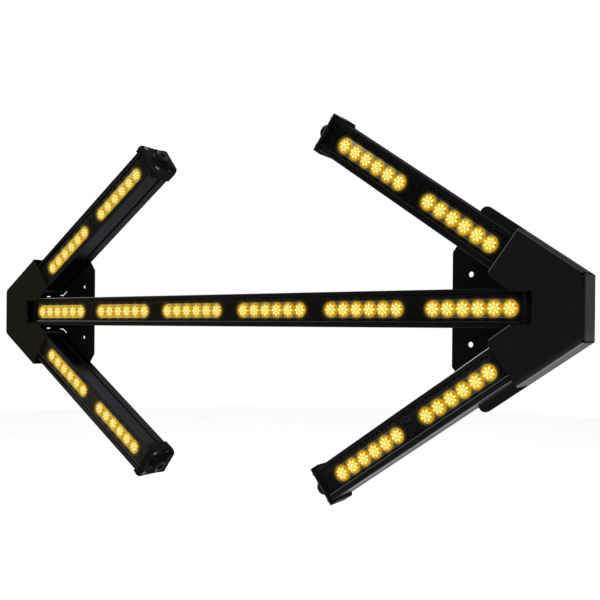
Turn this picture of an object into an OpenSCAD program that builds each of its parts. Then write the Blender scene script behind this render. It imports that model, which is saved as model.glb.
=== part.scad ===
// Two-way flashing arrow board: a centre light bar between two arrowheads.
// Each arrowhead is a pair of arm light bars, held by a plate and a folded cover.
// X runs along the centre bar, Y runs back towards the mounting surface, Z is up.
// The origin is the middle of the four mounting holes, on the back of the hub plates.

/* [Layout] */
// Distance from the end of the centre bar's housing out to a hub's outer face
hub_reach = 59; // [57:0.5:64]
// Distance from a hub's outer face in to the point where its three bar axes meet
vertex_inset = 3.4; // [0:0.2:6]
// Angle between an arm and the centre bar
arm_angle = 35.5; // [34.5:0.5:40]
// Gap between the centre bar and the nearest corner of an arm's end plate
arm_gap = 9.2; // [8:0.1:12]
// Length taken by one light module
module_pitch = 118; // [110:1:140]
// Light modules in the centre bar
centre_modules = 6; // [4:2:8]
// Housing left beyond the outer modules of an arm
arm_margin = 7.5; // [6:0.5:9]
// Housing left beyond the outer windows of the centre bar
centre_margin = 3; // [2:0.5:8]

/* [Housing extrusion] */
// Height of a light bar
bar_h = 38; // [37:0.5:40]
// Depth of a light bar
bar_d = 35; // [34:0.5:42]
// Outer wall at the T-slot mouths
wall = 1.8; // [1.4:0.1:2.2]
// Inner wall round the T-slot chambers
inner_wall = 1.4; // [1:0.1:1.8]
// Thickness of the front lips, which sets how deep the lens sits
lip_t = 2.4; // [1.8:0.1:2.6]
// Height of each front lip, from the outside to the lens opening
lip_h = 4.6; // [4.4:0.1:5.4]
// How far the lens runs under each lip
lens_grip = 1.2; // [0.8:0.1:1.2]
// Depth from the front to the top of the web that carries the light board
web_y = 14; // [13.4:0.1:14.4]
// Thickness of the web
web_t = 2; // [1.5:0.1:2.2]
// Depth from the front to the middle of the side T-slots
side_slot_y = 21.5; // [20.8:0.1:21.6]
// Mouth of a side T-slot
side_slot_w = 4.2; // [3.2:0.1:5.2]
// Chamber width of a side T-slot
side_chamber_w = 7.4; // [7:0.1:7.4]
// Chamber depth of a side T-slot
side_chamber_d = 3.4; // [2.8:0.1:3.6]
// Mouth of the rear T-slot
rear_slot_w = 6.4; // [5.6:0.1:7.2]
// Chamber width of the rear T-slot
rear_chamber_w = 10.6; // [10.4:0.1:11.4]
// Chamber depth of the rear T-slot
rear_chamber_d = 4.4; // [4.2:0.1:4.8]
// Diameter of the screw ports in the ends
port_d = 2.5; // [2.2:0.1:2.6]
// Radius on the housing's long outer corners
bar_corner = 0.8; // [0.4:0.1:1.2]

/* [Light modules] */
// Lights in one module
leds = 6; // [4:1:6]
// Length of a window in the bezel
window_l = 94; // [91:0.5:98]
// Height of a window in the bezel
window_h = 18; // [17.5:0.5:20]
// Thickness of the clear lens
lens_t = 1.5; // [1.2:0.1:1.6]
// Thickness of the black bezel
bezel_t = 1.5; // [1:0.1:1.6]
// Thickness of the light and driver boards
board_t = 1.6; // [1:0.1:1.6]
// Gap round a moulded optic, to the window's edge or halfway to the next optic
optic_gap = 0.43; // [0.3:0.01:1]
// Petals moulded on each optic
petals = 8; // [6:1:8]
// Length of a driver board
driver_len = 92; // [88:1:110]

/* [End caps] */
// Side wall of an end cap
cap_wall = 3.2; // [2.5:0.1:4]
// Wall of an end cap in front of the bar
cap_front = 1.5; // [1:0.1:2]
// Thickness of the end walls
cap_t = 3; // [2.5:0.1:4]
// Length of an end cap's skirt over the housing
cap_skirt = 7.5; // [5:0.5:10]
// How far an end cap's front wall laps over the lens
cap_lap = 2; // [1:0.5:4]
// Chamfer on an end cap's back corners
cap_chamfer = 4; // [3:0.5:7]
// Bevel along the front edge of an end cap's end face
cap_bevel = 3.2; // [2:0.2:3.8]
// Height of the raised block at the back of an end cap
block_h = 6.5; // [3:0.5:7.5]
// Gasket between cap and housing
gasket_t = 1; // [0.5:0.1:1.5]
// Bore of a cable gland
gland_bore = 8; // [6:0.5:8]
// Length of a cable gland outside its cap
gland_len = 10.5; // [7.5:0.5:13]
// Depth from the front of a bar to the axis of its cable gland
gland_y = 18; // [18:0.5:18.5]

/* [Hub] */
// Sheet thickness of a hub cover
sheet_t = 2; // [1.5:0.1:2.2]
// Inside radius of the folds
fold_r = 1; // [0.6:0.1:1.5]
// Thickness of a hub plate
plate_t = 3; // [3:0.5:5]
// Distance from the front of the bars forward to the front of a cover
cover_front = 5.5; // [5:0.1:9]
// Distance from an arm's outer side out to the outer face of the cover
cover_out = 8.5; // [7.5:0.5:12]
// Distance from an arm's inner side in to the free edge of the cover
cover_in = 5.4; // [4.6:0.1:6]
// Length of an arm, with its end plate, that the cover laps over
cover_lap = 14.2; // [12:0.1:20]
// Corner radius where the free edge meets the cut edge
cover_corner = 5; // [2:0.5:8]
// Width of the centre bar's edges that the cover hides beside its notch
notch_lap = 3.5; // [2:0.5:5]
// Distance from the end of the centre bar's housing out to the end of the notch
notch_past = 12; // [10:0.5:15]
// Gap left between the folds at a cover's corners
corner_gap = 1.8; // [1.2:0.1:2.4]
// Length of the screw tabs behind the folds
tab_len = 20; // [16:1:22]
// Width of a hub plate along the centre bar
plate_w = 139; // [136:1:150]
// Length of an arm, with its end plate, that lies on a plate's lobe
lobe_len = 69.5; // [65:0.5:73]
// Corner radius of a plate's lobes
lobe_r = 7; // [3:0.5:9]
// Distance from a plate's inner edge to its mounting holes
hole_edge = 19.5; // [15:0.5:23]
// Half distance between mounting holes across the board
hole_z = 35.75; // [33:0.25:38]
// Diameter of a mounting hole
hole_d = 5.8; // [5.3:0.1:8]

/* [Hidden] */
$fn = 48;
ARMS = ["upper_left", "upper_right", "lower_left", "lower_right"];
BARS = ["centre", each ARMS];
SIDES = ["left", "right"];

// Free fit between parts that slide together, and the smaller one round a screw
fit = 0.15;
screw_gap = 0.05;

centre_len = (centre_modules - 1) * module_pitch + window_l + 2 * centre_margin;
arm_len = 2 * module_pitch + 2 * arm_margin;
half_len = centre_len / 2 + hub_reach;
vertex_x = half_len - vertex_inset;
lip_y = -(bar_d + plate_t);

// Distances from the point where three bar axes meet to an arm's end plate and to its middle
end_u = (bar_h / 2 * (1 + cos(arm_angle)) + arm_gap) / sin(arm_angle);
arm_mid = end_u + gasket_t + cap_t + arm_len / 2;

// Layers inside a bar, as depths from the front of its lips
opening_h = bar_h - 2 * lip_h;
pocket_h = opening_h + 2 * lens_grip;
cavity_h = opening_h - 1.2;
bezel_y = lip_t + lens_t + 0.1;
optic_y = bezel_y + bezel_t;
optic_t = 1.5;
board_y = web_y - board_t;
board_h = cavity_h - 4 * fit;
board_end = 3;
cable_notch = 16;
led_pitch = window_l / leds;
optic_r = min(window_h, led_pitch) / 2 - optic_gap;
led_w = 3.45;
led_t = 1.1;
lead_hole_d = 5;
lead_d = 1.4;

// Rear half of the housing section
rear_chamber_y = bar_d - wall - rear_chamber_d;
driver_floor = rear_chamber_y - inner_wall;
driver_h = bar_h - 2 * (wall + side_chamber_d + inner_wall);
driver_board_h = driver_h + 1.6;
port_z = bar_h / 2 - 2.6;
port_ys = [bezel_y + 0.6 + port_d / 2, driver_floor + 0.6];
hollow_z = [rear_chamber_w / 2 + inner_wall, port_z - port_d / 2 - 1.3];

// End caps and glands
cap_half = bar_h / 2 + cap_wall;
cap_back_y = bar_d + plate_t - 0.2;
cap_end = gasket_t + cap_t;
block_y = side_slot_y + 1;
gland_r = gland_bore / 2;
spigot_r = gland_r + 2;
ring_r = gland_r + 5.5;
head_r = 2.8;
head_h = 2.2;
screw_len = 12;

// Edges of a cover and of a plate, from the axes of the bars and from where these meet
cover_side = bar_h / 2 + cover_out;
cover_inner = bar_h / 2 + cover_in;
cover_cut = end_u + cover_lap;
notch_half = bar_h / 2 - notch_lap;
lobe_u = end_u + lobe_len;
plate_edge = half_len - plate_w;

// Screws and nuts that hold the bars and the covers to the plates
bar_screw = [5, 9.4];
slot_nut = [12, 3.8, 10];
cover_screw = [4, 7.6];
press_nut = [8, 3];

// Folds, tabs and slots of the hubs
fold_out = fold_r + sheet_t;
cover_y = lip_y - cover_front;
tab_depth = fold_out + 10;
tab_hole_in = (tab_depth + fold_out) / 2;
tab_relief = 1;
tie_slot = [10.6, 1.5];
tie_slot_at = [centre_len / 2 + 16, bar_h / 2 + 4.2];
arm_slot = [14, 3.1];
arm_slot_at = [end_u + 1.5, -bar_h / 2 - 2.6];
arm_slot_tail = [8, 1];

// Middle of a slanting flange's screw tab: halfway from the fold corner to the arm's end plate
tab_u = (end_u + ((cover_side - fold_out) * sin(arm_angle) + fold_out - vertex_inset) / cos(arm_angle)) / 2;

// Point in the X and Z plane, a distance u along the upper right arm's axis and n out from it
function arm_xz(u, n) =
    [vertex_x - u * cos(arm_angle) + n * sin(arm_angle), u * sin(arm_angle) + n * cos(arm_angle)];

// Points on the line n out from that axis, at a given X and at a given Z
function arm_at_x(n, x) = arm_xz((vertex_x - x + n * sin(arm_angle)) / cos(arm_angle), n);
function arm_at_z(n, z) = arm_xz((z - n * cos(arm_angle)) / sin(arm_angle), n);

// Point on the line across the arm at u, at a given X
function across_at_x(u, x) = arm_xz(u, (x - vertex_x + u * cos(arm_angle)) / sin(arm_angle));

// Outline through points [x, y, radius], rounded at each by its radius
function rounded(pts, steps = 6) = [
    for (i = [0 : len(pts) - 1])
        each corner(pts[(i + len(pts) - 1) % len(pts)], pts[i], pts[(i + 1) % len(pts)], steps)
];
function corner(before, at, after, steps) =
    let (
        p = [at[0], at[1]],
        a = unit([before[0], before[1]] - p),
        b = unit([after[0], after[1]] - p),
        half = acos(a * b) / 2,
        middle = p + unit(a + b) * at[2] / sin(half),
        start = p + a * at[2] / tan(half) - middle,
        turn = -sign(a[0] * b[1] - a[1] * b[0]) * (180 - 2 * half)
    )
    at[2] == 0 ? [p] : [for (i = [0 : steps]) middle + spin(start, turn * i / steps)];
function unit(v) = v / norm(v);
function spin(v, angle) = [v[0] * cos(angle) - v[1] * sin(angle), v[0] * sin(angle) + v[1] * cos(angle)];

// Upper half of an outline, followed by its mirror image below the centre line
function both_halves(pts) =
    [each pts, for (i = [len(pts) - 1 : -1 : 0]) [pts[i][0], -pts[i][1], pts[i][2]]];

// An outline in the X and Z plane, made solid between two depths
module slab(y0, y1) translate([0, y1, 0]) rotate([90, 0, 0]) linear_extrude(y1 - y0) children();

// A section in the Y and Z plane, made solid between two places along X
module run(x0, x1) translate([x0, 0, 0]) rotate([90, 0, 90]) linear_extrude(x1 - x0) children();

// Part of a bar's section, between two depths and centred on its height
module band(y0, y1, h) translate([y0, -h / 2]) square([y1 - y0, h]);

module round_x(x0, x1, r) translate([x0, 0, 0]) rotate([0, 90, 0]) cylinder(x1 - x0, r = r);

module stadium(l, h) {
    square([l - h, h], center = true);
    for (x = [-1, 1] * (l - h) / 2)
        translate([x, 0]) circle(h / 2);
}

module bar_outline(inset = 0) polygon(rounded([
    [inset, inset - bar_h / 2, bar_corner], [bar_d - inset, inset - bar_h / 2, bar_corner],
    [bar_d - inset, bar_h / 2 - inset, bar_corner], [inset, bar_h / 2 - inset, bar_corner]
]));

// Mirror images of the right hub and of the upper right arm
function side_of(bar) = (bar == "upper_left" || bar == "lower_left") ? "left" : "right";
module on_side(side) mirror([side == "left" ? 1 : 0, 0, 0]) children();
module above_and_below() {
    children();
    mirror([0, 0, 1]) children();
}

// Frame of the upper right arm: X runs in along its axis to the meeting point, Z runs out from it
module arm_frame() translate([vertex_x, 0, 0]) rotate([0, arm_angle, 0]) children();

// Frame of a bar: its middle, at the front of its lips, with the cable gland at the -X end
module place(bar) {
    if (bar == "centre") translate([0, lip_y, 0]) children();
    else mirror([0, 0, bar == "lower_left" || bar == "lower_right" ? 1 : 0])
        on_side(side_of(bar)) arm_frame() translate([-arm_mid, lip_y, 0]) children();
}

// An end of a bar, with X = 0 at the end of the housing and the outside towards -X
module at_end(bar, end) place(bar) mirror([end > 0 ? 1 : 0, 0, 0])
    translate([-bar_len(bar) / 2, 0, 0]) children();

function bar_len(bar) = bar == "centre" ? centre_len : arm_len;
function module_xs(bar) =
    let (count = bar == "centre" ? centre_modules : 2)
    [for (i = [0 : count - 1]) (i - (count - 1) / 2) * module_pitch];
function led_xs() = [for (i = [0 : leds - 1]) (i - (leds - 1) / 2) * led_pitch];

// Places along a bar of the screws into its rear T-slot
function bar_screw_xs(bar) = bar == "centre"
    ? [for (side = [-1, 1], x = [plate_edge + 17, centre_len / 2 - 15]) side * x]
    : [arm_mid - lobe_u + 14, arm_len / 2 - 16.5];

// Housing

module side_cuts() {
    translate([side_slot_y - side_slot_w / 2, bar_h / 2 - wall - 1]) square([side_slot_w, wall + 2]);
    translate([side_slot_y - side_chamber_w / 2, bar_h / 2 - wall - side_chamber_d])
        square([side_chamber_w, side_chamber_d]);
    for (y = port_ys)
        translate([y, port_z]) circle(d = port_d);
    translate([rear_chamber_y, hollow_z[0]]) square([rear_chamber_d, hollow_z[1] - hollow_z[0]]);
}

// Extrusion with a lens channel in front, a light board web, a driver cavity and three T-slots
module housing_section() difference() {
    bar_outline();
    band(-1, lip_t + 1, opening_h);
    band(lip_t, bezel_y, pocket_h);
    band(lip_t, web_y, cavity_h);
    band(web_y + web_t, driver_floor, driver_h);
    band(driver_floor - board_t - 0.1, driver_floor, driver_board_h + 2 * fit);
    band(rear_chamber_y, bar_d - wall, rear_chamber_w);
    band(rear_chamber_y + 1, bar_d + 1, rear_slot_w);
    side_cuts();
    mirror([0, 1]) side_cuts();
}

// The web has a hole for the leads, and a notch that lets the cable in at the gland
module housing(bar) color("#1b1c1e") place(bar) difference() {
    run(-bar_len(bar) / 2, bar_len(bar) / 2) housing_section();
    slab(web_y - 1, web_y + web_t + 1) circle(d = lead_hole_d);
    translate([-bar_len(bar) / 2 - 1, web_y - 1, -gland_r - 1])
        cube([cable_notch + 1, web_t + 2, 2 * gland_r + 2]);
}

// Lens, bezel and lights

module lens(bar) color("#c8d0d4", 0.35) place(bar)
    run(-bar_len(bar) / 2, bar_len(bar) / 2) band(lip_t, lip_t + lens_t, pocket_h - 2 * fit);

module bezel(bar) color("#0a0a0b") place(bar) difference() {
    run(-bar_len(bar) / 2, bar_len(bar) / 2) band(bezel_y, optic_y, cavity_h - 2 * fit);
    for (x = module_xs(bar))
        translate([x, 0, 0]) slab(bezel_y - 1, optic_y + 1) stadium(window_l, window_h);
}

// Lit face of one optic: a ring of petals round a middle one
module petal_face() {
    circle(optic_r * 0.26);
    for (i = [0 : petals - 1])
        rotate(i * 360 / petals) translate([optic_r * 0.64, 0]) circle(optic_r * 0.22);
}

// One module's optics in a single moulding, each with a collimator behind, on six legs
module optic_array() {
    slab(optic_y, optic_y + optic_t) stadium(window_l + 2.5, window_h + 4);
    for (x = led_xs()) translate([x, 0, 0]) {
        slab(bezel_y + 0.5, optic_y + 0.1) circle(optic_r);
        slab(bezel_y + 0.1, bezel_y + 0.6) petal_face();
        translate([0, optic_y + optic_t - 0.1, 0]) rotate([-90, 0, 0])
            cylinder(board_y - led_t - 0.3 - optic_y - optic_t, optic_r * 0.86, optic_r * 0.45);
    }
    for (x = [-1, 0, 1] * led_pitch * (leds / 2 - 1), z = [-1, 1] * (window_h / 2 + 0.4))
        translate([x, 0, z]) slab(optic_y + optic_t - 0.1, board_y) circle(0.9);
}

module optics(bar) color("#e9b23c") place(bar)
    for (x = module_xs(bar)) translate([x, 0, 0]) optic_array();

module light_board(bar) color("#e8e8e2") place(bar)
    run(board_end - bar_len(bar) / 2, bar_len(bar) / 2 - board_end) band(board_y, web_y, board_h);

module led_packages() color("#f6d34a")
    for (bar = BARS) place(bar) for (at = module_xs(bar), x = led_xs())
        translate([at + x, 0, 0]) slab(board_y - led_t, board_y) square(led_w, center = true);

// Driver board, with two capacitors, a coil, a controller and a terminal block
module driver_board(bar) color("#1f6b3a") place(bar) {
    top = driver_floor - board_t;
    run(-driver_len / 2, driver_len / 2) band(top, driver_floor, driver_board_h);
    for (x = [-20, 22]) translate([x, 0, 0]) slab(top - 6.5, top + 0.1) circle(4.5);
    translate([32, 0, 0]) slab(top - 5, top + 0.1) circle(3.6);
    translate([10, 0, 3]) slab(top - 1.8, top + 0.1) square([9, 9], center = true);
    translate([-39, 0, 0]) slab(top - 7, top + 0.1) square([8, 16], center = true);
}

// Pairs of leads from the light boards through the webs to the driver boards
module board_leads() color("#b02a20")
    for (bar = BARS) place(bar) for (x = [-1, 1])
        translate([x, 0, 0]) slab(web_y, driver_floor - board_t) circle(d = lead_d);

// Ends of the bars

module at_ports() for (y = port_ys, z = [-port_z, port_z]) translate([0, y, z]) children();

module cap_outline() polygon(rounded([
    [-cap_front, -cap_half, 1.2], [cap_back_y - cap_chamfer, -cap_half, 2],
    [cap_back_y, cap_chamfer - cap_half, 2], [cap_back_y, cap_half - cap_chamfer, 2],
    [cap_back_y - cap_chamfer, cap_half, 2], [-cap_front, cap_half, 1.2]
]));

// Holes that a cap or an end plate has for its screws, and for its gland if it has one
module end_holes(gland) {
    at_ports() round_x(-cap_end - 1, 1, port_d / 2 + 0.3);
    if (gland) translate([0, gland_y, 0]) round_x(-cap_end - 1, 1, spigot_r + screw_gap);
}

// Moulded cap on an arm's free end, with a skirt, a bevelled front edge and a raised back block
// Raised block at the back of a cap, with slopes up to its top from the front and from both sides
module cap_block() {
    top = -cap_end - block_h;
    foot = -cap_end + 1;
    side = cap_half - 0.4;
    intersection() {
        run(top, foot) cap_outline();
        linear_extrude(3 * cap_half, center = true)
            polygon([[top, block_y + block_h], [top, 2 * bar_d], [foot, 2 * bar_d], [foot, block_y - 1]]);
        slab(0, 2 * bar_d)
            polygon([[top, block_h - side], [foot, -side - 1], [foot, side + 1], [top, side - block_h]]);
    }
}

module end_cap(arm) color("#131315") at_end(arm, -1) difference() {
    union() {
        run(-cap_end, cap_skirt) cap_outline();
        cap_block();
    }
    translate([-gasket_t, -fit, -bar_h / 2 - fit])
        cube([gasket_t + cap_skirt + 1, bar_d + 2 * fit, bar_h + 2 * fit]);
    translate([cap_lap, -cap_front - 1, -cap_half - 1])
        cube([cap_skirt, cap_front + 1.5, 2 * cap_half + 2]);
    translate([-cap_end, -cap_front, 0]) rotate([0, 0, 45])
        cube([sqrt(2) * cap_bevel, sqrt(2) * cap_bevel, 3 * cap_half], center = true);
    at_ports() round_x(-cap_end - block_h - 1, -cap_end, head_r + 0.7);
    translate([0, gland_y, 0]) round_x(-cap_end - block_h - 1, -cap_end, ring_r + 0.5);
    end_holes(true);
}

// Flat plate on an end inside a hub, where the bar lies against the hub plate
module end_plate(bar, end) color("#131315") at_end(bar, end) difference() {
    run(-cap_end, -gasket_t) bar_outline();
    end_holes(end < 0);
}

module cap_gaskets() color("#2a2a2a") {
    for (bar = BARS) at_end(bar, -1) gasket(true);
    for (bar = BARS) at_end(bar, 1) gasket(false);
}
module gasket(gland) difference() {
    run(-gasket_t, 0) bar_outline(0.4);
    at_ports() round_x(-gasket_t - 1, 1, port_d / 2 + 0.3);
    if (gland) translate([0, gland_y, 0]) round_x(-gasket_t - 1, 1, gland_r + 1);
}

// Pan head screw along -X, its head against X = 0, with a cross recess
module pan_screw(l) rotate([0, -90, 0]) difference() {
    rotate_extrude() polygon([
        [0, -l], [port_d / 2 - screw_gap, -l], [port_d / 2 - screw_gap, 0], [head_r, 0],
        [head_r, head_h * 0.5], [head_r * 0.8, head_h * 0.88], [head_r * 0.45, head_h], [0, head_h]
    ]);
    for (turn = [0, 90])
        rotate(turn) translate([-head_r * 0.6, -0.4, head_h - 1.1]) cube([head_r * 1.2, 0.8, 2]);
}

module cap_screws() color("#b9bcc0")
    for (bar = BARS, end = [-1, 1]) at_end(bar, end)
        at_ports() translate([-cap_end, 0, 0]) pan_screw(screw_len);

// Cable gland: a spigot through the cap, a ring against it and a tapered mouth
module gland(bar) color("#0e0e10") at_end(bar, -1) translate([-cap_end, gland_y, 0])
    rotate([0, -90, 0]) rotate_extrude() polygon([
        [gland_r, -cap_t], [spigot_r, -cap_t], [spigot_r, 0], [ring_r, 0], [ring_r, 2.2], [ring_r - 0.8, 3],
        [gland_r + 3.2, 3], [gland_r + 3.2, 3.8], [gland_r + 4, 4.2], [gland_r + 4, gland_len - 2],
        [gland_r + 2.6, gland_len], [gland_r + 0.6, gland_len], [gland_r, gland_len - 0.6]
    ]);

// Hubs

// Countersunk screw from the back of a plate forward, its head flush at Y = 0
module csk_screw(size, l) rotate([90, 0, 0]) difference() {
    rotate_extrude() polygon([
        [0, 0], [size[1] / 2 - screw_gap, 0], [size[0] / 2 - screw_gap, (size[1] - size[0]) / 2],
        [size[0] / 2 - screw_gap, l], [0, l]
    ]);
    translate([0, 0, -1]) cylinder(1 + size[0] * 0.45, r = size[0] * 0.3, $fn = 6);
}
module csk_hole(size) rotate([90, 0, 0]) {
    translate([0, 0, -1]) cylinder(plate_t + 2, d = size[0] + 2 * screw_gap);
    cylinder((size[1] - size[0]) / 2, size[1] / 2, size[0] / 2);
    translate([0, 0, -1]) cylinder(1.001, d = size[1]);
}

module at_bar_screws() for (bar = BARS) place(bar) for (x = bar_screw_xs(bar))
    translate([x, bar_d + plate_t, 0]) children();

module at_cover_screws(side) on_side(side) {
    above_and_below() arm_frame() translate([-tab_u, 0, cover_side - tab_hole_in]) children();
    translate([half_len - tab_hole_in, 0, 0]) children();
}

function plate_points() = rounded(both_halves([
    [each across_at_x(lobe_u, plate_edge), 3],
    [each arm_xz(lobe_u, cover_side), lobe_r],
    [each arm_at_x(cover_side, half_len), 1]
]));

// Slots beside the end of the centre bar and beside the end of each arm
module plate_slots() {
    translate(tie_slot_at) stadium(tie_slot[0], tie_slot[1]);
    low = arm_xz(arm_slot_at[0] - (arm_slot[0] - arm_slot[1]) / 2, arm_slot_at[1]);
    translate(arm_xz(arm_slot_at[0], arm_slot_at[1])) rotate(-arm_angle) stadium(arm_slot[0], arm_slot[1]);
    translate([low[0] + arm_slot_tail[0] / 2 - 1, low[1] + 0.7]) stadium(arm_slot_tail[0], arm_slot_tail[1]);
}

module hub_plate(side) color("#161618") difference() {
    on_side(side) difference() {
        slab(-plate_t, 0) polygon(plate_points());
        above_and_below() {
            slab(-plate_t - 1, 1) plate_slots();
            translate([plate_edge + hole_edge, 1, hole_z]) rotate([90, 0, 0]) cylinder(plate_t + 2, d = hole_d);
        }
    }
    at_bar_screws() csk_hole(bar_screw);
    at_cover_screws(side) csk_hole(cover_screw);
}

// Quarter bend along +X, from the +Y side round to the +Z side
module fold(l) rotate([90, 0, 90]) rotate_extrude(angle = 90) translate([fold_r, 0]) square([sheet_t, l]);

// Flange bent back from the cover's face, in a frame with X along it and Z out to its outer face.
// It starts with a strip of the face, so that the fold joins it at any size.
module flange(x0, x1, side) {
    l = x1 - x0;
    translate([x0, cover_y, side - fold_out - 1]) cube([l, sheet_t, 1]);
    translate([x0, cover_y + fold_out, side - fold_out]) mirror([0, 1, 0]) fold(l);
    translate([x0, cover_y + fold_out, side - sheet_t]) cube([l, -plate_t - cover_y - fold_out, sheet_t]);
}

// The same flange with a screw tab bent in from its back edge, centred on x
module tabbed_flange(x0, x1, side, x) {
    y = -plate_t - fold_out;
    difference() {
        flange(x0, x1, side);
        translate([x - tab_len / 2 - tab_relief, y, side - fold_out])
            cube([tab_len + 2 * tab_relief, fold_out + 1, fold_out + 1]);
    }
    translate([x - tab_len / 2, y, side - fold_out]) fold(tab_len);
    difference() {
        translate([x - tab_len / 2, -plate_t - sheet_t, side - tab_depth])
            cube([tab_len, sheet_t, tab_depth - fold_out]);
        translate([x, 0, side - tab_hole_in]) rotate([90, 0, 0])
            cylinder(plate_t + sheet_t + 1, d = cover_screw[0] + 2 * fit);
    }
}

// Inset corner where the two folds of the upper half meet, and the direction that splits it
function fold_corner() = arm_at_x(cover_side - fold_out, half_len - fold_out);
split_angle = atan2(cos(arm_angle), 1 + sin(arm_angle));

module at_fold_corner() slab(cover_y - 1, 0) translate(fold_corner()) rotate(split_angle) children();

// Relief slot between the folds, with a round end in the face
module corner_slot() at_fold_corner() {
    circle(d = corner_gap);
    translate([0, -corner_gap / 2]) square([20, corner_gap]);
}

// Everything past the middle of that slot: above it for 1, below it for -1
module past_corner(above) at_fold_corner()
    translate([-1, above > 0 ? -corner_gap / 3 : corner_gap / 3 - 40]) square([20, 40]);

function face_points() = rounded(both_halves([
    [centre_len / 2 + notch_past, notch_half, 1.5],
    [each arm_at_z(-cover_inner, notch_half), 1.5],
    [each arm_xz(cover_cut, -cover_inner), cover_corner],
    [each arm_xz(cover_cut, cover_side - fold_out), 0],
    [each fold_corner(), 0]
]));

// Cover folded from one sheet: a notched face, two slanting flanges and an upright one
module hub_cover(side) color("#1c1c1b") on_side(side) difference() {
    union() {
        slab(cover_y, cover_y + sheet_t) polygon(face_points());
        above_and_below() difference() {
            arm_frame() tabbed_flange(-cover_cut, -10, cover_side, -tab_u);
            past_corner(-1);
        }
        difference() {
            rotate([0, 90, 0]) tabbed_flange(-40, 40, half_len, 0);
            above_and_below() past_corner(1);
        }
    }
    above_and_below() corner_slot();
}

module cover_nuts() color("#a9adb1")
    for (side = SIDES) at_cover_screws(side) rotate([90, 0, 0]) difference() {
        translate([0, 0, plate_t + sheet_t]) cylinder(press_nut[1], d = press_nut[0]);
        cylinder(20, d = cover_screw[0]);
    }

module cover_screws() color("#8f9296")
    for (side = SIDES) at_cover_screws(side) csk_screw(cover_screw, plate_t + sheet_t + press_nut[1] + 0.5);

module slot_nuts() color("#a9adb1")
    for (bar = BARS) place(bar) for (x = bar_screw_xs(bar)) difference() {
        translate([x - slot_nut[0] / 2, bar_d - wall - slot_nut[1], -slot_nut[2] / 2]) cube(slot_nut);
        translate([x, bar_d, 0]) rotate([90, 0, 0]) cylinder(20, d = bar_screw[0]);
    }

module plate_screws() color("#8f9296") at_bar_screws() csk_screw(bar_screw, plate_t + wall + slot_nut[1] - 0.2);

for (bar = BARS) {
    housing(bar);
    lens(bar);
    bezel(bar);
    optics(bar);
    light_board(bar);
    driver_board(bar);
    gland(bar);
}
for (arm = ARMS) {
    end_cap(arm);
    end_plate(arm, 1);
}
for (side = SIDES) {
    hub_cover(side);
    hub_plate(side);
}
end_plate("centre", -1);  // end_plate_centre_left
end_plate("centre", 1);  // end_plate_centre_right
led_packages();
board_leads();
cap_gaskets();
cap_screws();
cover_nuts();
cover_screws();
slot_nuts();
plate_screws();
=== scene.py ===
"""Looks of the LED arrow board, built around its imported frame.

The row frame is in metres: +X to the right along the centre bar, +Y back, +Z up; the lights face -Y.
A bar's own frame is in mm: x along it, y into it from its front lips, z across it.
"""
import math
from collections import namedtuple

import bpy
import numpy as np
from mathutils import Euler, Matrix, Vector


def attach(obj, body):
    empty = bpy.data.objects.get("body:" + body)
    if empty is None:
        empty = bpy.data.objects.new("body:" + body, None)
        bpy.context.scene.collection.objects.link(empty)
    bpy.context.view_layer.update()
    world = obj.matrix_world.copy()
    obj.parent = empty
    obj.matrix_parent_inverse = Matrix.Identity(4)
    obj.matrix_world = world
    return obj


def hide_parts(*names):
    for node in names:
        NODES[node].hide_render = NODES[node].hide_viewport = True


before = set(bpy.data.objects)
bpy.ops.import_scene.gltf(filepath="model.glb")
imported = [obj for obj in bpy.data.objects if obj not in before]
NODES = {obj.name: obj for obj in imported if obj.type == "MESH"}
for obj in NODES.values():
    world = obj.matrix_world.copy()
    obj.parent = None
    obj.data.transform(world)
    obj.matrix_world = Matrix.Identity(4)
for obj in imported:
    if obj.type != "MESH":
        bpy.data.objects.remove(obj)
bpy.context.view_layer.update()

# ---------------------------------------------------------------- sizes, as in part.scad, in mm
LIP_Y = -38.0                     # front lips of the bars
VERTEX_X = 400.6                  # where the arms' middle lines meet the centre bar's
ARM_MID = 204.698                 # from there to the middle of an arm
ANGLE = math.radians(35.5)        # between an arm and the centre bar
PITCH, LEDS = 118.0, 6            # from one light module to the next, and the lights in each
WINDOW_L, WINDOW_H = 94.0, 18.0
LED_PITCH = WINDOW_L / LEDS
OPTIC_R = 7.403
CARRIER_Y, CARRIER_T = 5.6, 1.4   # front and thickness of the optics' carrier
CONE_END = 11.0                   # depth at which the cones behind the optics end
BARS = ["centre", "upper_left", "upper_right", "lower_left", "lower_right"]
COUNT = {bar: 6 if bar == "centre" else 2 for bar in BARS}    # light modules

# Bend reliefs beside the hub covers' outer tabs, in the row frame but in mm
RELIEF_X, RELIEF_Y, RELIEF_Z = (402.05, 403.9), (-5.9, -3.1), (10.03, 10.97)


def sides(bar):
    """Signs that mirror the upper right arm onto this one."""
    return (-1 if "left" in bar else 1), (-1 if "lower" in bar else 1)


def to_frame(bar, p):
    """Points of a bar's own frame in the row frame."""
    p = np.array(p, float)
    if bar == "centre":
        q = p + [0, LIP_Y, 0]
    else:
        x, z = p[:, 0] - ARM_MID, p[:, 2]
        c, s = math.cos(ANGLE), math.sin(ANGLE)
        sx, sz = sides(bar)
        q = np.stack([sx * (x * c + z * s + VERTEX_X), p[:, 1] + LIP_Y, sz * (-x * s + z * c)], 1)
    return q / 1000


# ---------------------------------------------------------------- tones, 8-bit sRGB
HALF = 0.36                       # the tones run from this far left to this far right, in metres
GLOW = (255, 208, 40)             # light of the optics on what is round them
FOLD_LIGHT = (31, 32, 34)         # painted light and shade of a hub cover: light beside its lower fold, highlights on its upper and lower folds,
CREST_HIGHLIGHT, LOW_FOLD_HIGHLIGHT = (60, 62, 60), (102, 104, 106)
CUT_EDGE_HIGHLIGHT, BEND_SHADE = (88, 90, 87), (8, 8, 8)    # highlights on its cut edges, and shade in its upright bend
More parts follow.
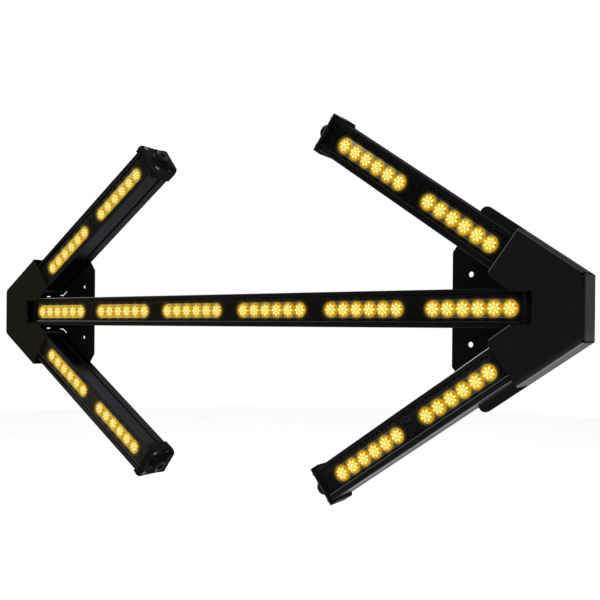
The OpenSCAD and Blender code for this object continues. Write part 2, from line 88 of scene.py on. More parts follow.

# Cut edges of the hub covers, as lines a x + c z + d = 0 in the row frame, and where each one's light ends in x
CUT_LINES = ((-0.815, 0.579, 0.2371, 0.4), (-0.578, 0.816, 0.2074, 0.337))
# The right cover's lower fold, as the line a x - c z - d = 0
LOWER_FOLD = (0.581, 0.814, 0.2562)

Tone = namedtuple("Tone", "lip_left lip_right bezel_left bezel_right gloss worn_top worn_bottom worn_at")


def grey(*levels):
    return tuple((v, v, v) for v in levels)


# A bar's lips and bezel at the board's left and right ends, painted light and shade that differ from bar to bar, its
# gloss, and three tones of painted highlight and shade along the roundings that face up and those that face down, with
# their places from left to right
EVEN = (0.0, 0.65, 1.0)
TONE = {
    "centre": Tone((34, 31, 26), (14, 15, 16), (37, 34, 30), (13, 14, 15), 0.003,
                   grey(150, 60, 16), ((34, 33, 31), *grey(38, 40)), EVEN),
    "upper_left": Tone((27, 27, 25), (26, 27, 26), (35, 35, 33), (33, 34, 33), 0.005,
                       ((27, 27, 25),) * 3, ((48, 49, 50), (40, 41, 42), (40, 41, 42)), EVEN),
    "lower_left": Tone((44, 43, 40), (38, 38, 37), (55, 51, 46), (46, 46, 44), 0.005,
                       grey(30, 30, 30), ((44, 43, 40),) * 3, EVEN),
    "upper_right": Tone((18, 19, 18), (16, 17, 16), (15, 16, 15), (14, 15, 14), 0.005,
                        ((17, 18, 17),) * 3, grey(110, 100, 40), EVEN),
    "lower_right": Tone((22, 23, 25), (19, 20, 23), (27, 28, 31), (24, 25, 28), 0.03,
                        (*grey(26, 26), (225, 225, 227)), ((50, 50, 52), (60, 60, 62), (90, 90, 92)),
                        (0.0, 0.84, 0.9)),
}
# Light along the edge of each bezel's lower lip: its level, and how far from the bar's middle, in metres
EDGE_LIGHT = {"centre": 0.3, "upper_left": 0.08, "lower_left": 0.08, "upper_right": 0.03, "lower_right": 0.12}
EDGE_AT = {bar: 0.0124 if bar == "lower_right" else 0.0131 for bar in BARS}


# ---------------------------------------------------------------- materials
def lin(rgb):
    """Linear colour of an 8-bit sRGB one."""
    return tuple(c / 3294.6 if c <= 10.3 else ((c / 255 + 0.055) / 1.055) ** 2.4 for c in rgb) + (1.0,)


class Mat:
    """A node material: a Principled shader and the helpers that fill it."""

    def __init__(self, name):
        self.m = bpy.data.materials.new(name)
        self.m.use_nodes = True
        self.nt = self.m.node_tree
        self.nt.nodes.clear()
        self.p = self.node("BsdfPrincipled")
        self.node("OutputMaterial", {"Surface": self.p.outputs[0]})

    def node(self, kind, ins=(), **props):
        n = self.nt.nodes.new("ShaderNode" + kind)
        for k, v in props.items():
            setattr(n, k, v)
        for k, v in dict(ins).items():
            self.feed(n.inputs[k], v)
        return n

    def feed(self, socket, v):
        if isinstance(v, bpy.types.NodeSocket):
            self.nt.links.new(v, socket)
        else:
            socket.default_value = v

    def set(self, **kw):
        for k, v in kw.items():
            self.feed(self.p.inputs[k.replace("_", " ")], v)
        return self

    def math(self, op, a, b=0.0):
        return self.node("Math", {0: a, 1: b}, operation=op).outputs[0]

    def add(self, a, b):
        return self.math("ADD", a, b)

    def sub(self, a, b):
        return self.math("SUBTRACT", a, b)

    def mul(self, a, b):
        return self.math("MULTIPLY", a, b)

    def size(self, a):
        return self.math("ABSOLUTE", a)

    def above(self, a, b):
        return self.math("GREATER_THAN", a, b)

    def below(self, a, b):
        return self.math("LESS_THAN", a, b)

    def split(self, at):
        return self.node("SeparateXYZ", {0: at}).outputs

    def even(self, v):
        """A grey of a given level."""
        return self.node("CombineXYZ", {0: v, 1: v, 2: v}).outputs[0]

    def coords(self, bar=None, stretch=(1, 1, 1)):
        """Row frame coordinates, or along, into and across a bar, in metres either way."""
        at = self.node("TexCoord").outputs["Object"]
        if bar and bar != "centre":
            sx, sz = sides(bar)
            turned = Euler((0, -ANGLE, 0)).to_matrix() @ Vector((-VERTEX_X / 1000, 0, 0))
            at = self.node("Mapping", {"Vector": at, "Scale": (sx, 1, sz), "Rotation": (0, -ANGLE, 0),
                                       "Location": turned + Vector((ARM_MID / 1000, 0, 0))}).outputs[0]
        if stretch != (1, 1, 1):
            at = self.node("Mapping", {"Vector": at, "Scale": stretch}).outputs[0]
        return at

    def normal(self):
        """The piece's own normal in the row frame: x, y and z."""
        return self.split(self.node("TexCoord").outputs["Normal"])

    def noise(self, at, scale, detail=3.0):
        ins = {"Vector": at, "Scale": scale, "Detail": detail, "Roughness": 0.55}
        return self.node("TexNoise", ins).outputs["Fac"]

    def ramp(self, fac, *stops):
        n = self.node("ValToRGB", {"Fac": fac})
        e = n.color_ramp.elements
        while len(e) < len(stops):
            e.new(0.5)
        for el, (pos, col) in zip(e, stops):
            el.position, el.color = pos, lin(col)
        return n.outputs["Color"]

    def remap(self, v, a, b, c, d):
        """A value from a to b brought to c to d, and held there past the ends."""
        return self.node("MapRange", {"Value": v, "From Min": a, "From Max": b, "To Min": c, "To Max": d}).outputs[0]

    def across(self):
        """0 at the board's left and 1 at its right."""
        return self.remap(self.split(self.coords())[0], -HALF, HALF, 0.0, 1.0)

    def blend(self, fac, a, b, how="MIX"):
        n = self.node("Mix", {0: fac}, data_type="RGBA", blend_type=how)
        self.feed(n.inputs[6], a)
        self.feed(n.inputs[7], b)
        return n.outputs[2]

    def painted_falloff_grained(self, grain, left, right, spread=0.12):
        """A colour that runs from left to right across the board as a painted light falloff where its two ends differ,
        darker and lighter with the grain.
        """
        tone = self.ramp(self.across(), (0.0, left), (1.0, right))
        return self.blend(1.0, tone, self.even(self.remap(grain, 0.3, 0.7, 1 - spread, 1 + spread)), "MULTIPLY")

    def uneven(self, a, b, low, high):
        """A value that wanders between two ends with the sum of two noises."""
        return self.remap(self.add(a, b), 0.7, 1.3, low, high)

    def band(self, v, mid, half):
        """1 where a value is mid, falling to 0 at half to each side of it."""
        return self.math("MAXIMUM", self.sub(1.0, self.math("DIVIDE", self.size(self.sub(v, mid)), half)), 0.0)

    def sheltered(self, below, above):
        """One value on surfaces that face down and another on those that face up, where dust settles."""
        return self.remap(self.normal()[2], -0.5, 0.5, below, above)

    def bump(self, height, strength, distance):
        return self.node("Bump", {"Height": height, "Strength": strength, "Distance": distance}).outputs[0]


def powder_coat():
    """Satin powder coat on folded steel: fine orange peel, warmer and lighter at the left as painted light, with
    painted highlights along folds and cut edges, painted light beside the lower fold and painted shade in the upright
    bend.
    """
    m = Mat("powder_coat")
    at = m.coords()
    grain, broad = m.noise(at, 700), m.noise(at, 9)
    x, _, z = m.split(at)
    nx, ny, nz = m.normal()
    # painted light: warmer and lighter at the left
    tone = m.painted_falloff_grained(grain, (25, 25, 21), (19, 21, 20), 0.22)
    # painted highlights along the cut edges
    for a, c, d, end in CUT_LINES:
        off = m.add(m.add(m.mul(x, a), m.mul(z, c)), d)
        tone = m.blend(m.mul(m.band(off, -0.0003, 0.0009), m.below(x, end)), tone, lin(CUT_EDGE_HIGHLIGHT))
    # painted light beside the lower fold
    a, c, d = LOWER_FOLD
    off = m.sub(m.sub(m.mul(x, a), m.mul(z, c)), d)
    tone = m.blend(m.remap(off, -0.0017, -0.0007, 0.0, 1.0), tone, lin(FOLD_LIGHT))
    # painted highlights on the folds that face up and down, and painted shade in the upright bend
    curved = m.above(m.size(ny), 0.1)    # the folds, and not the flat flanges or cut edges
    crest = m.ramp(nz, *zip((0.22, 0.36, 0.52, 0.7), grey(0, 250, 250, 0)))
    tone = m.blend(m.mul(crest, curved), tone, lin(CREST_HIGHLIGHT))
    low = m.ramp(m.mul(nz, -1.0), *zip((0.12, 0.3, 0.45, 0.62), grey(0, 60, 130, 250)))
    tone = m.blend(m.mul(low, curved), tone, lin(LOW_FOLD_HIGHLIGHT))
    tone = m.blend(m.mul(m.band(nx, 0.45, 0.4), m.below(m.size(nz), 0.1)), tone, lin(BEND_SHADE))
    return m.set(Base_Color=tone, Specular_IOR_Level=0.012,
                 Roughness=m.add(m.uneven(grain, broad, -0.05, 0.05), m.sheltered(0.34, 0.62)),
                 Normal=m.bump(m.noise(at, 420), 0.05, 0.0003))


def plate_black():
    """Matt black back plates, lighter towards the right as painted light."""
    m = Mat("plate_black")
    grain = m.noise(m.coords(), 600)
    return m.set(Base_Color=m.painted_falloff_grained(grain, (24, 24, 27), (29, 30, 32), 0.15), Specular_IOR_Level=0.002,
                 Roughness=m.remap(grain, 0.3, 0.7, 0.6, 0.75), Normal=m.bump(grain, 0.05, 0.0002))


def anodised(bar):
    """Black anodised extrusion: the long faint lines of its die, and painted highlights and shade on its roundings. A
    left bar's sides carry painted shade near the hub."""
    m, tones = Mat("anodised_" + bar), TONE[bar]
    lines = m.noise(m.coords(bar, (14, 700, 700)), 1.0, 4)
    soft = m.noise(m.coords(bar, (6, 60, 60)), 1.0, 2)
    tone = m.painted_falloff_grained(lines, tones.lip_left, tones.lip_right, 0.14)
    _, ny, nz = m.normal()
    # painted shade: a left bar's sides darken near the hub
    if "left" in bar:
        along = m.remap(m.split(m.coords(bar))[0], -0.12, 0.12, 0.0, 1.0)
        side = m.ramp(along, (0.0, (38, 39, 41)), (0.6, (46, 48, 51)), (0.73, (5, 5, 6)))
        tone = m.blend(m.below(m.size(ny), 0.5), tone, side)
    # painted highlights and shade along the roundings that face up and those that face down
    rounding = m.math("MINIMUM", m.size(m.mul(m.mul(ny, nz), 2.5)), 1.0)
    for rounding_light, facing in ((tones.worn_top, m.above), (tones.worn_bottom, m.below)):
        edge = m.ramp(m.across(), *zip(tones.worn_at, rounding_light))
        tone = m.blend(m.mul(rounding, facing(nz, 0.0)), tone, edge)
    return m.set(Base_Color=tone, Specular_IOR_Level=tones.gloss,
                 Roughness=m.add(m.uneven(lines, soft, -0.05, 0.05), m.sheltered(0.3, 0.65)),
                 Normal=m.bump(lines, 0.06, 0.0001))


def spill(m, bar):
    """Light that the lit optics throw on what is round them: 1 at a rim, fading within a few millimetres."""
    pitch, led_pitch = PITCH / 1000, LED_PITCH / 1000
    x, _, z = m.split(m.coords(bar))
    u = m.sub(m.math("MODULO", m.add(x, COUNT[bar] * pitch / 2), pitch), pitch / 2)    # from the module's middle
    nearest = m.math("FLOOR", m.math("DIVIDE", u, led_pitch))
    nearest = m.math("MINIMUM", m.math("MAXIMUM", nearest, -LEDS / 2), LEDS / 2 - 1)
    dx = m.sub(u, m.mul(m.add(nearest, 0.5), led_pitch))
    r = m.math("SQRT", m.add(m.mul(dx, dx), m.mul(z, z)))
    past = m.math("MAXIMUM", m.sub(r, OPTIC_R / 1000), 0.0)
    reach = m.remap(m.across(), 0, 1, -0.0012, -0.0008)
    return m.math("EXPONENT", m.math("DIVIDE", past, reach))


def bezel_black(bar):
    """Smooth black bezel strip, with the optics' spill round each window and a lit edge along its lower lip."""
    m, tones = Mat("bezel_" + bar), TONE[bar]
    up = sides(bar)[1]
    z = m.split(m.coords(bar))[2]
    level = EDGE_LIGHT[bar]
    if bar == "centre":    # fading to the right
        level = m.mul(m.math("EXPONENT", m.mul(m.across(), -2.6)), level)
    line = m.mul(m.band(z, -EDGE_AT[bar] * up, 0.0006), level)
    grain = m.noise(m.coords(bar, (3, 30, 30)), 12, 2)
    painted_lift = m.remap(m.mul(z, up), 0.005, 0.0136, 1.0, 2.2)    # painted light, paler towards the upper lip where the lip's shade falls
    tone = m.blend(1.0, m.painted_falloff_grained(grain, tones.bezel_left, tones.bezel_right, 0.05), m.even(painted_lift), "MULTIPLY")
    return m.set(Base_Color=tone, Roughness=m.remap(grain, 0.3, 0.7, 0.42, 0.5), Specular_IOR_Level=0.004,
                 Emission_Color=m.blend(m.mul(spill(m, bar), 0.6), m.even(line), lin(GLOW)), Emission_Strength=1.0)


def lens_clear(bar):
    """Clear lens strip, kept matt and thin so that it throws no sparkle on the bezel behind it."""
    m = Mat("lens_" + bar)
    film = m.noise(m.coords(bar, (3, 40, 40)), 4.0)
    return m.set(Base_Color=m.ramp(film, (0.3, (8, 8, 8)), (0.7, (16, 16, 16))), Specular_IOR_Level=0.0,
                 Roughness=m.remap(film, 0.3, 0.7, 0.45, 0.55), Alpha=0.06)


def moulded(name, left, right, rough, spec):
    """Moulded plastic, rubber or a painted board: a fine even grain, and a painted light falloff from left to right
    where its two tones differ.
    """
    m = Mat(name)
    at = m.coords()
    grain, soft = m.noise(at, 500), m.noise(at, 40, 2)
    return m.set(Base_Color=m.painted_falloff_grained(grain, left, right), Roughness=m.uneven(grain, soft, *rough),
                 Specular_IOR_Level=spec, Normal=m.bump(grain, 0.04, 0.0002))


def end_plate_plastic():
    """Moulded black, lighter towards the right as painted light, with painted light on the faces that face right."""
    m = moulded("end_plate_plastic", (10, 10, 10), (17, 18, 18), (0.5, 0.6), 0.004)
    tone = m.p.inputs["Base Color"].links[0].from_socket
    # painted light on the faces that face right
    return m.set(Base_Color=m.blend(m.above(m.normal()[0], 0.5), tone, lin((62, 64, 62))))


def metal(name, left, right, rough):
    m = Mat(name)
    grain = m.noise(m.coords(), 500, 4)
    return m.set(Base_Color=m.painted_falloff_grained(grain, left, right), Metallic=1.0, Roughness=m.remap(grain, 0.3, 0.7, *rough),
                 Normal=m.bump(grain, 0.05, 0.0001))


def cap_screw_steel():
    """Bright screws on the caps, and the same screws painted black and dull as shade inside the hubs, at the board's
    two ends.
    """
    m = metal("cap_screw_steel", (96, 96, 96), (80, 80, 80), (0.3, 0.42))
    # painted shade: black, not metal, inside the hubs
    ends = (0.05, 0.08, 0.92, 0.95)
    return m.set(Base_Color=m.ramp(m.across(), *zip(ends, grey(4, 96, 80, 4))),
                 Metallic=m.ramp(m.across(), *zip(ends, grey(0, 255, 255, 0))), Specular_IOR_Level=0.01)


def lit_colour(m):
    """The light that a mesh keeps as a colour at each of its points."""
    return m.node("Attribute", attribute_name="lit").outputs["Color"]


def lit_optic():
    """Lit acrylic optics."""
    m = Mat("lit_optics")
    grain = m.noise(m.coords(), 500, 2)
    return m.set(Base_Color=m.ramp(grain, (0.3, (30, 22, 4)), (0.7, (42, 30, 6))), Specular_IOR_Level=0.01,
                 Roughness=m.remap(grain, 0.3, 0.7, 0.3, 0.4), Emission_Color=lit_colour(m), Emission_Strength=0.98)


def lit_carrier(bar):
    """Hazy carrier behind the window, which the optics light up."""
    m = Mat("carrier_" + bar)
    grain = m.noise(m.coords(bar, (3, 30, 30)), 20, 2)
    glow = m.blend(m.mul(spill(m, bar), 0.75), lit_colour(m), lin(GLOW))
    return m.set(Base_Color=m.ramp(grain, (0.3, (16, 15, 12)), (0.7, (24, 22, 18))), Specular_IOR_Level=0.01,
                 Roughness=m.remap(grain, 0.3, 0.7, 0.4, 0.5), Emission_Color=glow, Emission_Strength=1.06)


# ---------------------------------------------------------------- meshes
def mesh_piece(name, verts, faces, mats, face_mats=None, colours=None, smooth=True):
    me = bpy.data.meshes.new(name)
    me.from_pydata([tuple(v) for v in verts], [], [tuple(int(i) for i in f) for f in faces])
    for mat in mats:
        me.materials.append(mat.m)
    if face_mats is not None:
        me.polygons.foreach_set("material_index", np.array(face_mats, np.int32))
    me.polygons.foreach_set("use_smooth", np.full(len(me.polygons), smooth))
    if colours is not None:
        a = me.color_attributes.new("lit", "FLOAT_COLOR", "POINT")
        a.data.foreach_set("color", np.c_[colours, np.ones(len(verts))].astype(np.float32).ravel())
    me.update()
    ob = bpy.data.objects.new(name, me)
    bpy.context.scene.collection.objects.link(ob)
    return ob


def flipped(faces):
    return [tuple(reversed(f)) for f in faces]


class Build:
    """Gathers the shapes of one piece of a bar, in that bar's own frame."""

    def __init__(self):
        self.v, self.f, self.c, self.m, self.n = [], [], [], [], 0

    def add(self, pts, faces, cols, mat=0):
        self.v.append(pts)
        self.c.append(np.broadcast_to(np.array(cols, float), (len(pts), 3)))
        self.f += [tuple(i + self.n for i in f) for f in faces]
        self.m += [mat] * len(faces)
        self.n += len(pts)

    def piece(self, name, bar, mats):
        sx, sz = sides(bar)
        mirrored = bar != "centre" and sx * sz < 0
        faces = flipped(self.f) if mirrored else self.f
        return mesh_piece(name, to_frame(bar, np.vstack(self.v)), faces, mats, self.m, np.vstack(self.c))


def stadium(length, height, x=0.0, n=20):
    """Outline points (x, z) of a stadium centred at x, with n points round each end."""
    r = height / 2
    a = np.linspace(-math.pi / 2, math.pi / 2, n)
    right = np.stack([length / 2 - r + r * np.cos(a), r * np.sin(a)], 1)
    return np.vstack([right, -right]) + [x, 0]


def circle(r, x, n):
    return stadium(2 * r, 2 * r, x, n)


def at_depth(outline, y):
    return np.insert(outline, 1, y, 1)


def ring_band(outer, inner, y0, y1):
    """Faces between two outlines of as many points, at depths y0 and y1."""
    n = len(outer)
    faces = [(j, (j + 1) % n, n + (j + 1) % n, n + j) for j in range(n)]
    return np.vstack([at_depth(outer, y0), at_depth(inner, y1)]), faces


def ease(a, b, x):
    t = np.clip((x - a) / (b - a), 0, 1)
    return t * t * (3 - 2 * t)


# ---------------------------------------------------------------- optics
RINGS, STEPS, PETALS = 20, 72, 8
RIM, GOLD, DEEP, YELLOW, PALE, HAZE_LEFT, HAZE_RIGHT, HAZE_HIGH = (np.array(lin(c)[:3]) for c in (
    (228, 162, 2), (245, 208, 10), (186, 108, 0), (243, 232, 84), (247, 247, 208),
    (160, 138, 66), (42, 40, 34), (104, 102, 90)))
PALE, YELLOW = PALE * 1.25, YELLOW * 1.15    # brighter than white paint can be
HAZE_FADES, HAZE_RISES = (-HALF, 0.22), (0.12, 0.19)    # in x and z of the row frame
# Places and half sizes of what shows on an optic, as shares of its radius
PETAL_AT, PETAL = 0.63, (0.23, 0.16)
LINK_AT, LINK = 0.36, (0.20, 0.07)     # from the middle to each petal
WIDE, CORE = 1.15, 0.7                  # size of the yellow of a petal and of its pale core
DULL = [(0.74, 0.24, 0.20), (0.62, -0.46, 0.20), (-0.66, -0.52, 0.16), (0.30, 0.86, 0.12), (-0.90, 0.30, 0.10)]
MIDDLE = [(-0.08, 0.16, 0.34, 0.13), (-0.24, -0.10, 0.16, 0.12), (0.16, -0.16, 0.17, 0.14)]    # a bar and two feet
FACE_Y, DOME, RAISED = 4.95, 0.35, 0.55    # an optic's edge, its dome over that and its petals over the dome, in mm


def spots(u, v, places):
    """How far points are inside soft elliptical spots: 1 in one, 0 clear of all."""
    best = np.zeros(len(u))
    for cx, cz, a, b, turn in places:
        c, s = math.cos(turn), math.sin(turn)
        d = np.hypot(((u - cx) * c + (v - cz) * s) / a, (-(u - cx) * s + (v - cz) * c) / b)
        best = np.maximum(best, 1 - ease(0.55, 1.35, d))
    return best


def optic_face(sx, sz):
    """One lit optic, centred on its axis: a domed disc with eight raised petals round a bright middle.
    Returns points, faces and the light colour at each point."""
    i, j = np.meshgrid(np.arange(1, RINGS + 1), np.arange(STEPS), indexing="ij")
    a = 2 * math.pi * j.ravel() / STEPS
    u, v = (np.r_[0, i.ravel() / RINGS * f(a)] for f in (np.cos, np.sin))
    r = np.hypot(u, v)
    pu, pv = u * sx + 0.05, v * sz
    turns = [math.pi / 2 + 2 * math.pi * k / PETALS for k in range(PETALS)]

    def round_the_middle(at, half, k=1.0):
        return [(at * math.cos(t), at * math.sin(t), half[0] * k, half[1] * k, t) for t in turns]

    petal, core = (spots(pu, pv, round_the_middle(PETAL_AT, PETAL, k)
                         + [(x, z, half_x * k, half_z * k, 0) for x, z, half_x, half_z in MIDDLE])
                   for k in (WIDE, CORE))
    links = spots(pu, pv, round_the_middle(LINK_AT, LINK))
    dull = spots(pu, pv, [(x, z, s, s, 0) for x, z, s in DULL])
    col = GOLD + (RIM - GOLD) * ease(0.5, 0.95, r)[:, None]
    for share, to in ((dull * 0.9, DEEP), (links * 0.6, YELLOW), (petal, YELLOW), (core, PALE)):
        col = col + (to - col) * share[:, None]
    pts = np.stack([u * OPTIC_R, FACE_Y - DOME * (1 - r ** 2) - RAISED * petal, v * OPTIC_R], 1)
    faces = [(0, 1 + (k + 1) % STEPS, 1 + k) for k in range(STEPS)]
    for ring in range(RINGS):
        for k in range(STEPS):
            p, q = 1 + ring * STEPS + k, 1 + ring * STEPS + (k + 1) % STEPS
            faces.append((p, q, q + STEPS, p + STEPS))
    skirt = pts[-STEPS:] * [1, 0, 1] + [0, CARRIER_Y, 0]
    return np.vstack([pts, skirt]), faces, np.vstack([col, np.tile(RIM * 0.5, (STEPS, 1))])


def haze(bar, pts, level=1.0):
    """Light of the hazy carrier at points of a bar: pale at the board's left, dim at its right, pale again high up."""
    q = to_frame(bar, pts)
    t = ease(*HAZE_FADES, q[:, 0])[:, None]
    up = (ease(*HAZE_RISES, q[:, 2]) * (pts[:, 2] > 0))[:, None]
    return (HAZE_LEFT * (1 - t) + HAZE_RIGHT * t + HAZE_HIGH * up) * level


def add_carrier(b, bar, x0):
    """Front, edge and back of a module's carrier."""
    rim, mid = stadium(WINDOW_L + 2.5, WINDOW_H + 4, x0), stadium(WINDOW_L - 8, 0.2, x0)
    front, back = CARRIER_Y, CARRIER_Y + CARRIER_T
    for u, v, ya, yb, level in ((mid, rim, front, front, 1), (rim, rim, front, back, 0.3), (rim, mid, back, back, 0.2)):
        p, f = ring_band(u, v, ya, yb)
        b.add(p, f, haze(bar, p, level), 1)


def add_ribs(b, bar, x0, spread):
    """Fine ribs above and below a module's optics."""
    half, gap, height, pitch, margin = 0.2, 0.3, 0.35, 1.3, 6
    foot = CARRIER_Y - 0.05
    for side in (-1, 1):
        for x in np.arange(-WINDOW_L / 2 + margin, WINDOW_L / 2 - margin + 0.1, pitch):
            off = min(np.min(np.abs(x - spread)), OPTIC_R)
            z0, z1 = math.sqrt(max(OPTIC_R ** 2 - off ** 2, 0)) + gap, WINDOW_H / 2 - gap
            q = np.array([(x - half, foot, z0), (x + half, foot, z0), (x + half, foot, z1), (x - half, foot, z1),
                          (x, foot - height, z0), (x, foot - height, z1)]) * [1, 1, side] + [x0, 0, 0]
            f = [(0, 3, 5, 4), (4, 5, 2, 1), (0, 4, 1), (3, 2, 5)]
            b.add(q, f if side > 0 else flipped(f), haze(bar, q, 1.8), 1)


def add_edge(b, bar, x0):
    """Moulded edge just inside a window."""
    o1, o2, o3 = (stadium(WINDOW_L - t, WINDOW_H - t, x0) for t in (0.1, 0.9, 1.4))
    top = CARRIER_Y - 0.3
    for u, v, ya, yb in ((o1, o2, CARRIER_Y, top), (o2, o3, top, CARRIER_Y)):
        p, f = ring_band(u, v, ya, yb)
        b.add(p, flipped(f), haze(bar, p, 1.2) + 0.07, 1)


def add_pips(b, bar, x0):
    """Three clear pips at a window's ends, glowing as painted highlights."""
    sx, sz = sides(bar)
    # how bright each pip's painted highlight glows
    for ex, ez, light in ((1, -1, 0.75), (1, 1, 0.35), (-1, -1, 0.3)):
        at = np.array([x0 + sx * ex * (WINDOW_L / 2 - 3.2), 0, sz * ez * (WINDOW_H / 2 - 2.3)])
        base, top = (at_depth(circle(s, 0.0, 6), y) + at for s, y in ((0.8, CARRIER_Y), (0.45, CARRIER_Y - 0.9)))
        n = len(base)
        f = [(j, n + j, n + (j + 1) % n, (j + 1) % n) for j in range(n)] + [tuple(range(2 * n - 1, n - 1, -1))]
        b.add(np.vstack([base, top]), f, (light, light, light * 0.9))


def optic_row(bar):
    """The lit optics of a bar, their cones and carriers. Stands for the bar's optics solid."""
    b = Build()
    spread = (np.arange(LEDS) - (LEDS - 1) / 2) * LED_PITCH
    face, faces, cols = optic_face(*sides(bar))
    for k in range(COUNT[bar]):
        x0 = (k - (COUNT[bar] - 1) / 2) * PITCH
        for x in x0 + spread:
            b.add(face + [x, 0, 0], faces, cols)
            wide, narrow = (circle(OPTIC_R * s, x, 12) for s in (0.86, 0.45))
            b.add(*ring_band(wide, narrow, CARRIER_Y + CARRIER_T - 0.1, CONE_END), DEEP * 0.4)
        add_carrier(b, bar, x0)
        add_ribs(b, bar, x0, spread)
        add_edge(b, bar, x0)
        add_pips(b, bar, x0)
    ob = b.piece("lit_optics_" + bar, bar, [LIT, lit_carrier(bar)])
    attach(ob, "root")
    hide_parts("optics_" + bar)


def relief_seals():
    """Dabs of black sealant in the bend reliefs beside the covers' outer tabs, so that no daylight shows through."""
    n, bevel, small = 20, 0.3, 0.6
    (x0, x1), (y0, y1), (z0, z1) = RELIEF_X, RELIEF_Y, RELIEF_Z
    a = np.linspace(0, 2 * math.pi, n + 1)[:-1]
    y, z = (np.sign(f) * np.abs(f) ** 0.35 for f in (np.cos(a), np.sin(a)))    # a square with round corners
    verts, faces = [], []
    for sx in (-1, 1):
        for sz in (-1, 1):
            first = n * len(verts)
            for x, k in ((x0, small), (x0 + bevel, 1.0), (x1 - bevel, 1.0), (x1, small)):
                verts.append(np.stack([np.full(n, sx * x), (y0 + y1) / 2 + y * k * (y1 - y0) / 2,
                                       sz * (z0 + z1) / 2 + z * k * (z1 - z0) / 2], 1))
            f = [(i + j, i + (j + 1) % n, i + n + (j + 1) % n, i + n + j)
                 for i in range(first, first + 3 * n, n) for j in range(n)]
            f += [tuple(range(first + n - 1, first - 1, -1)), tuple(range(first + 3 * n, first + 4 * n))]
            faces += f if sx > 0 else flipped(f)
    ob = mesh_piece("relief_seals", np.vstack(verts) / 1000, faces, [RUBBER])
    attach(ob, "root")


# ---------------------------------------------------------------- finishes of the CAD nodes, by the start of a name
LIT = lit_optic()
RUBBER = moulded("gasket_rubber", (12, 11, 10), (12, 13, 12), (0.7, 0.85), 0.004)
BLACK_STEEL = metal("black_zinc_steel", (24, 24, 25), (22, 22, 23), (0.4, 0.5))
STEEL = metal("zinc_steel", (120, 122, 124), (120, 122, 124), (0.3, 0.45))
# Where a finish's left and right tones differ, as on the caps, glands, gaskets and black steel, the change is a painted
# light falloff.
FINISH = {
    "lens": lens_clear, "bezel": bezel_black, "housing": anodised,
    "light_board": moulded("light_board_mask", (215, 216, 210), (215, 216, 210), (0.4, 0.55), 0.4),
    "driver_board": moulded("driver_board_mask", (20, 80, 42), (20, 80, 42), (0.35, 0.5), 0.4),
    "led_packages": moulded("led_phosphor", (242, 200, 60), (242, 200, 60), (0.3, 0.4), 0.4),
    "board_leads": moulded("lead_sleeve", (135, 18, 15), (135, 18, 15), (0.4, 0.5), 0.4),
    "end_cap": moulded("cap_plastic", (19, 20, 20), (14, 15, 15), (0.3, 0.4), 0.006),
    "end_plate": end_plate_plastic(), "cap_gaskets": RUBBER, "cap_screws": cap_screw_steel(),
    "gland": moulded("gland_plastic", (14, 15, 15), (12, 12, 13), (0.14, 0.22), 0.05),
    "hub_cover": powder_coat(), "hub_plate": plate_black(),
    "cover_nuts": BLACK_STEEL, "cover_screws": BLACK_STEEL, "slot_nuts": STEEL, "plate_screws": STEEL,
}
for name, ob in NODES.items():
    key = max((k for k in FINISH if name.startswith(k)), key=len, default=None)
    if key:
        finish = FINISH[key]
        ob.data.materials.clear()
        ob.data.materials.append((finish(name[len(key) + 1:]) if callable(finish) else finish).m)
for bar in BARS:
    optic_row(bar)
relief_seals()

# ---------------------------------------------------------------- floor, world, lamps, camera
FLOOR_Z, FLOOR_R, FLOOR_CORNERS = -0.45, 3.2, 48


def behind(nt):
    """1 for the rays that see the background: the camera's, and those in gloss and glass."""
    path = nt.nodes.new("ShaderNodeLightPath")
    last = path.outputs["Is Camera Ray"]
    for ray in ("Is Glossy Ray", "Is Transmission Ray"):
        n = nt.nodes.new("ShaderNodeMath")
        n.operation = "MAXIMUM"
        nt.links.new(last, n.inputs[0])
        nt.links.new(path.outputs[ray], n.inputs[1])
        last = n.outputs[0]
    return last


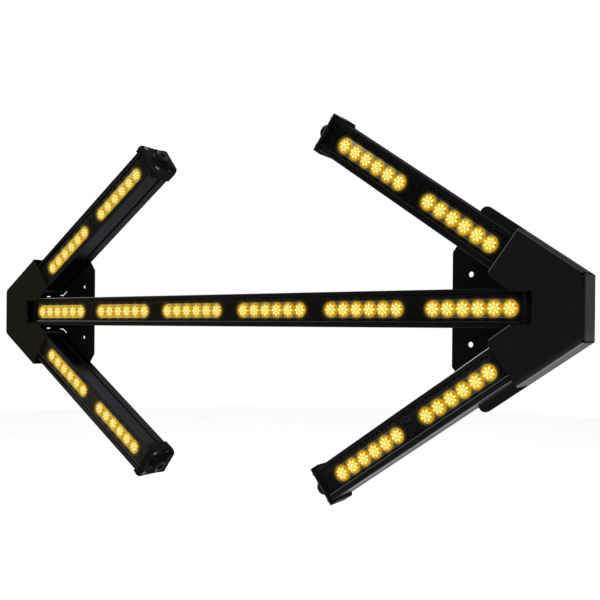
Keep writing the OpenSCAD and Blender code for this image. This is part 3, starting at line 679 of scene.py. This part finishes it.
def studio_floor():
    m = Mat("studio_floor")
    tone = m.ramp(m.noise(m.coords(), 3), (0.3, (222, 222, 222)), (0.7, (228, 228, 228)))
    m.set(Base_Color=tone, Roughness=0.9, Specular_IOR_Level=0.0, Emission_Color=(1, 1, 1, 1),
          Emission_Strength=m.mul(behind(m.nt), 0.55))
    turns = np.linspace(0, 2 * math.pi, FLOOR_CORNERS + 1)[:-1]
    edge = [(FLOOR_R * math.cos(a), FLOOR_R * math.sin(a), FLOOR_Z) for a in turns]
    mesh_piece("studio_floor", edge, [range(FLOOR_CORNERS)], [m], smooth=False)


def studio_world():
    """White behind the board and in its gloss, and half as bright as a light."""
    world = bpy.data.worlds.new("studio")
    bpy.context.scene.world = world
    world.use_nodes = True
    nt = world.node_tree
    nt.nodes.clear()
    soft, white = nt.nodes.new("ShaderNodeBackground"), nt.nodes.new("ShaderNodeBackground")
    for n, strength in ((soft, 0.5), (white, 1.0)):
        n.inputs["Color"].default_value, n.inputs["Strength"].default_value = (1, 1, 1, 1), strength
    mix, out = nt.nodes.new("ShaderNodeMixShader"), nt.nodes.new("ShaderNodeOutputWorld")
    for a, b in ((behind(nt), mix.inputs[0]), (soft.outputs[0], mix.inputs[1]), (white.outputs[0], mix.inputs[2]),
                 (mix.outputs[0], out.inputs["Surface"])):
        nt.links.new(a, b)


def lamp(name, at, look, size, power):
    light = bpy.data.lights.new(name, "AREA")
    light.shape = "RECTANGLE"
    light.size, light.size_y = size
    light.energy = power
    ob = bpy.data.objects.new(name, light)
    bpy.context.scene.collection.objects.link(ob)
    ob.location = at
    ob.rotation_euler = (Vector(look) - Vector(at)).to_track_quat("-Z", "Y").to_euler()


def photo_camera():
    cam = bpy.data.cameras.new("photo_camera")
    cam.sensor_width, cam.lens, cam.shift_y = 36.0, 45.2238, 0.050833
    cam.dof.use_dof = False
    ob = bpy.data.objects.new("photo_camera", cam)
    bpy.context.scene.collection.objects.link(ob)
    ob.location = (0.54806, -0.74316, -0.02117)
    ob.rotation_euler = tuple(math.radians(a) for a in (89.87277, -0.48826, 32.34034))
    bpy.context.scene.camera = ob


studio_floor()
studio_world()
lamp("top_softbox", (-0.1, -0.35, 1.3), (0, 0, 0), (1.6, 0.9), 16)
lamp("right_softbox", (1.6, 0.25, 0.15), (0.2, 0, 0), (0.9, 1.2), 9)
lamp("low_softbox", (1.0, -0.25, -0.4), (0.2, 0, -0.05), (0.8, 0.3), 7)
photo_camera()
bpy.context.scene.view_settings.view_transform = "Standard"

bpy.context.view_layer.update()
